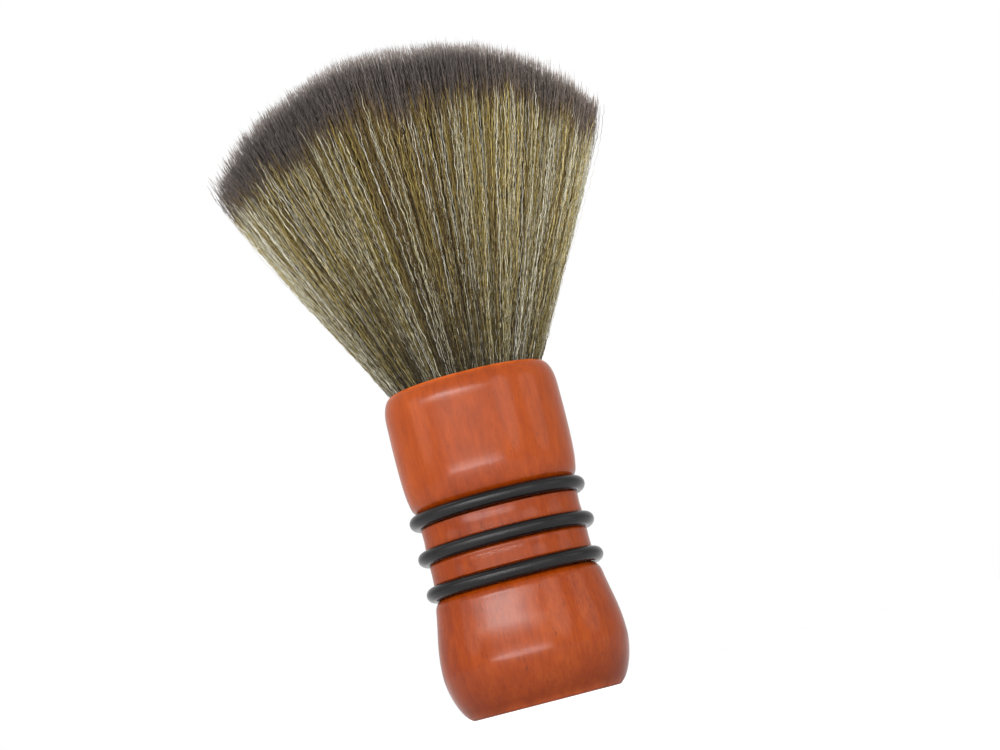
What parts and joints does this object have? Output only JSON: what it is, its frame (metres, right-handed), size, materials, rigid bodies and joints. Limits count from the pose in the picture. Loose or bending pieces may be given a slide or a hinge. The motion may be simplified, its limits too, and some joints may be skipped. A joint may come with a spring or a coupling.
{
  "type": "neck duster brush",
  "caption": "Hand brush with an oval waisted wooden handle, rubber grip rings and a wide fanned soft tuft, for clearing hair clippings from the neck.",
  "frame": {"origin": "centre of the handle's flat base", "axes": "+Z along the brush from the base to the tuft, +X to the side along the brush's wide direction, broad front face towards -Y"},
  "size_m": [0.098, 0.054, 0.165],
  "materials": {
    "lacquered_wood": "satin",
    "black_rubber": "satin",
    "epoxy": "gloss",
    "filament": "matte",
    "binding_thread": "matte"
  },
  "bodies": {
    "handle": {"handle_block": "lacquered_wood", "o_ring_lower": "black_rubber", "o_ring_middle": "black_rubber", "o_ring_upper": "black_rubber", "glue_plug": "epoxy", "bristle_root": "filament", "knot_binding": "binding_thread"},
    "tuft": {"bristle_tuft": "filament"}
  },
  "joints": [
    {"name": "tuft_flex", "type": "hinge", "parent": "handle", "child": "tuft", "pos_m": [0, 0, 0.082], "axis": [1, 0, 0], "range_deg": [-15, 15], "stiffness_Nm_per_rad": 0.3}
  ]
}
